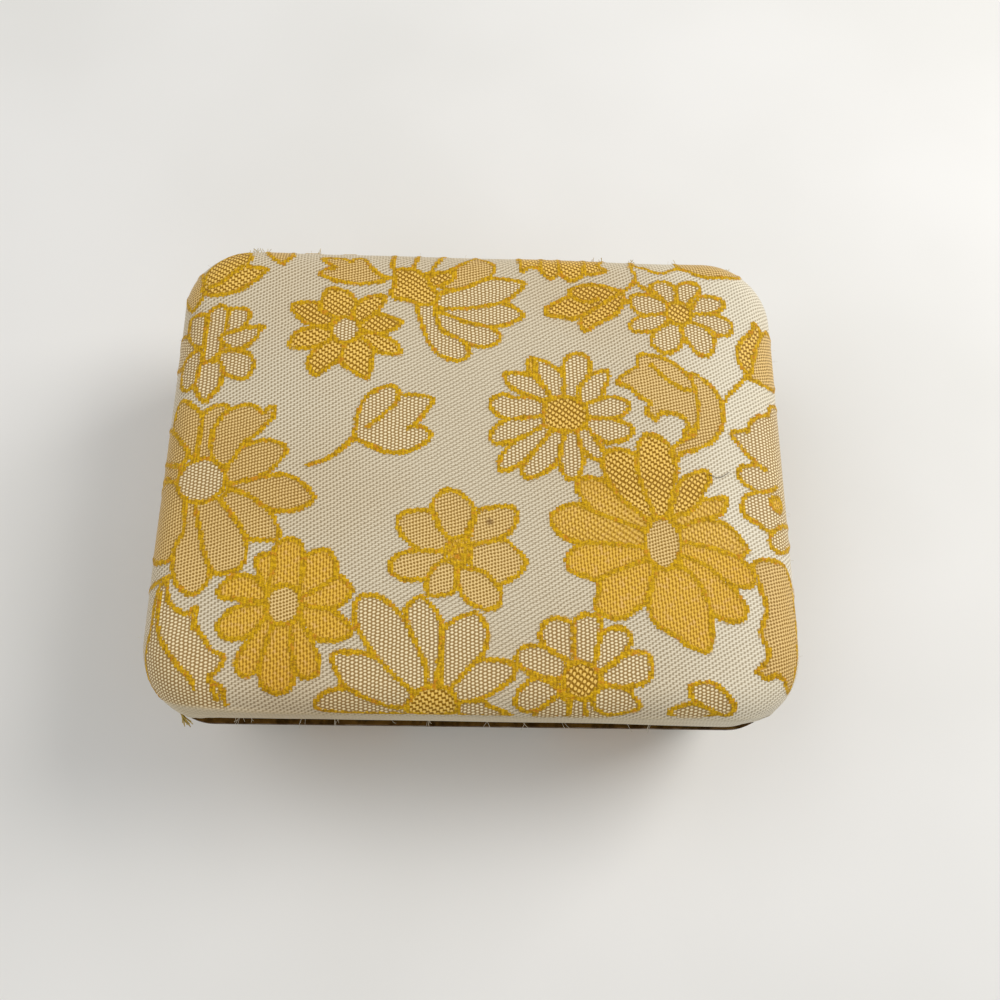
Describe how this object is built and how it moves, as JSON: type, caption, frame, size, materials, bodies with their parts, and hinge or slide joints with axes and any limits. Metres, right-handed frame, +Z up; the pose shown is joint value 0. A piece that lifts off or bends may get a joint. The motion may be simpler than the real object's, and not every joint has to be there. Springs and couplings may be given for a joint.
{
  "type": "brocade box",
  "caption": "Padded clamshell keepsake box covered in floral brocade, with brass rims and a hinged lid that snaps at the back.",
  "frame": {"origin": "middle of the face it stands on", "axes": "+X along the width, +Y towards the hinge at the back, +Z up"},
  "size_m": [0.115, 0.0925, 0.0416],
  "materials": {
    "brocade": "satin weave with raised gold floral figures",
    "wadding": "loose white wadding",
    "satin": "plain champagne satin",
    "velvet": "short pile velvet",
    "felt": "pressed felt",
    "pressed_card": "matt pressed board",
    "rim_brass": "aged brass, satin",
    "steel": "drawn spring steel"
  },
  "bodies": {
    "base": {"base_shell": "pressed_card", "base_brocade": "brocade", "base_felt": "felt", "base_rim": "rim_brass", "base_lining": "satin", "base_pad_card": "pressed_card", "base_pad": "velvet", "base_hinge_leaf": "rim_brass", "hinge_pin": "steel", "snap_spring": "steel", "base_hinge_rivets": "rim_brass", "spring_rivet": "rim_brass"},
    "lid": {"lid_shell": "pressed_card", "lid_wadding": "wadding", "lid_brocade": "brocade", "lid_rim": "rim_brass", "lid_lining": "satin", "lid_pad_card": "pressed_card", "lid_pad": "satin", "lid_hinge_leaf": "rim_brass", "lid_hinge_rivets": "rim_brass"}
  },
  "joints": [
    {"name": "lid_hinge", "type": "hinge", "parent": "base", "child": "lid", "pos_m": [0, 0.0453, 0.022], "axis": [-1, 0, 0], "range_deg": [0, 100]}
  ]
}
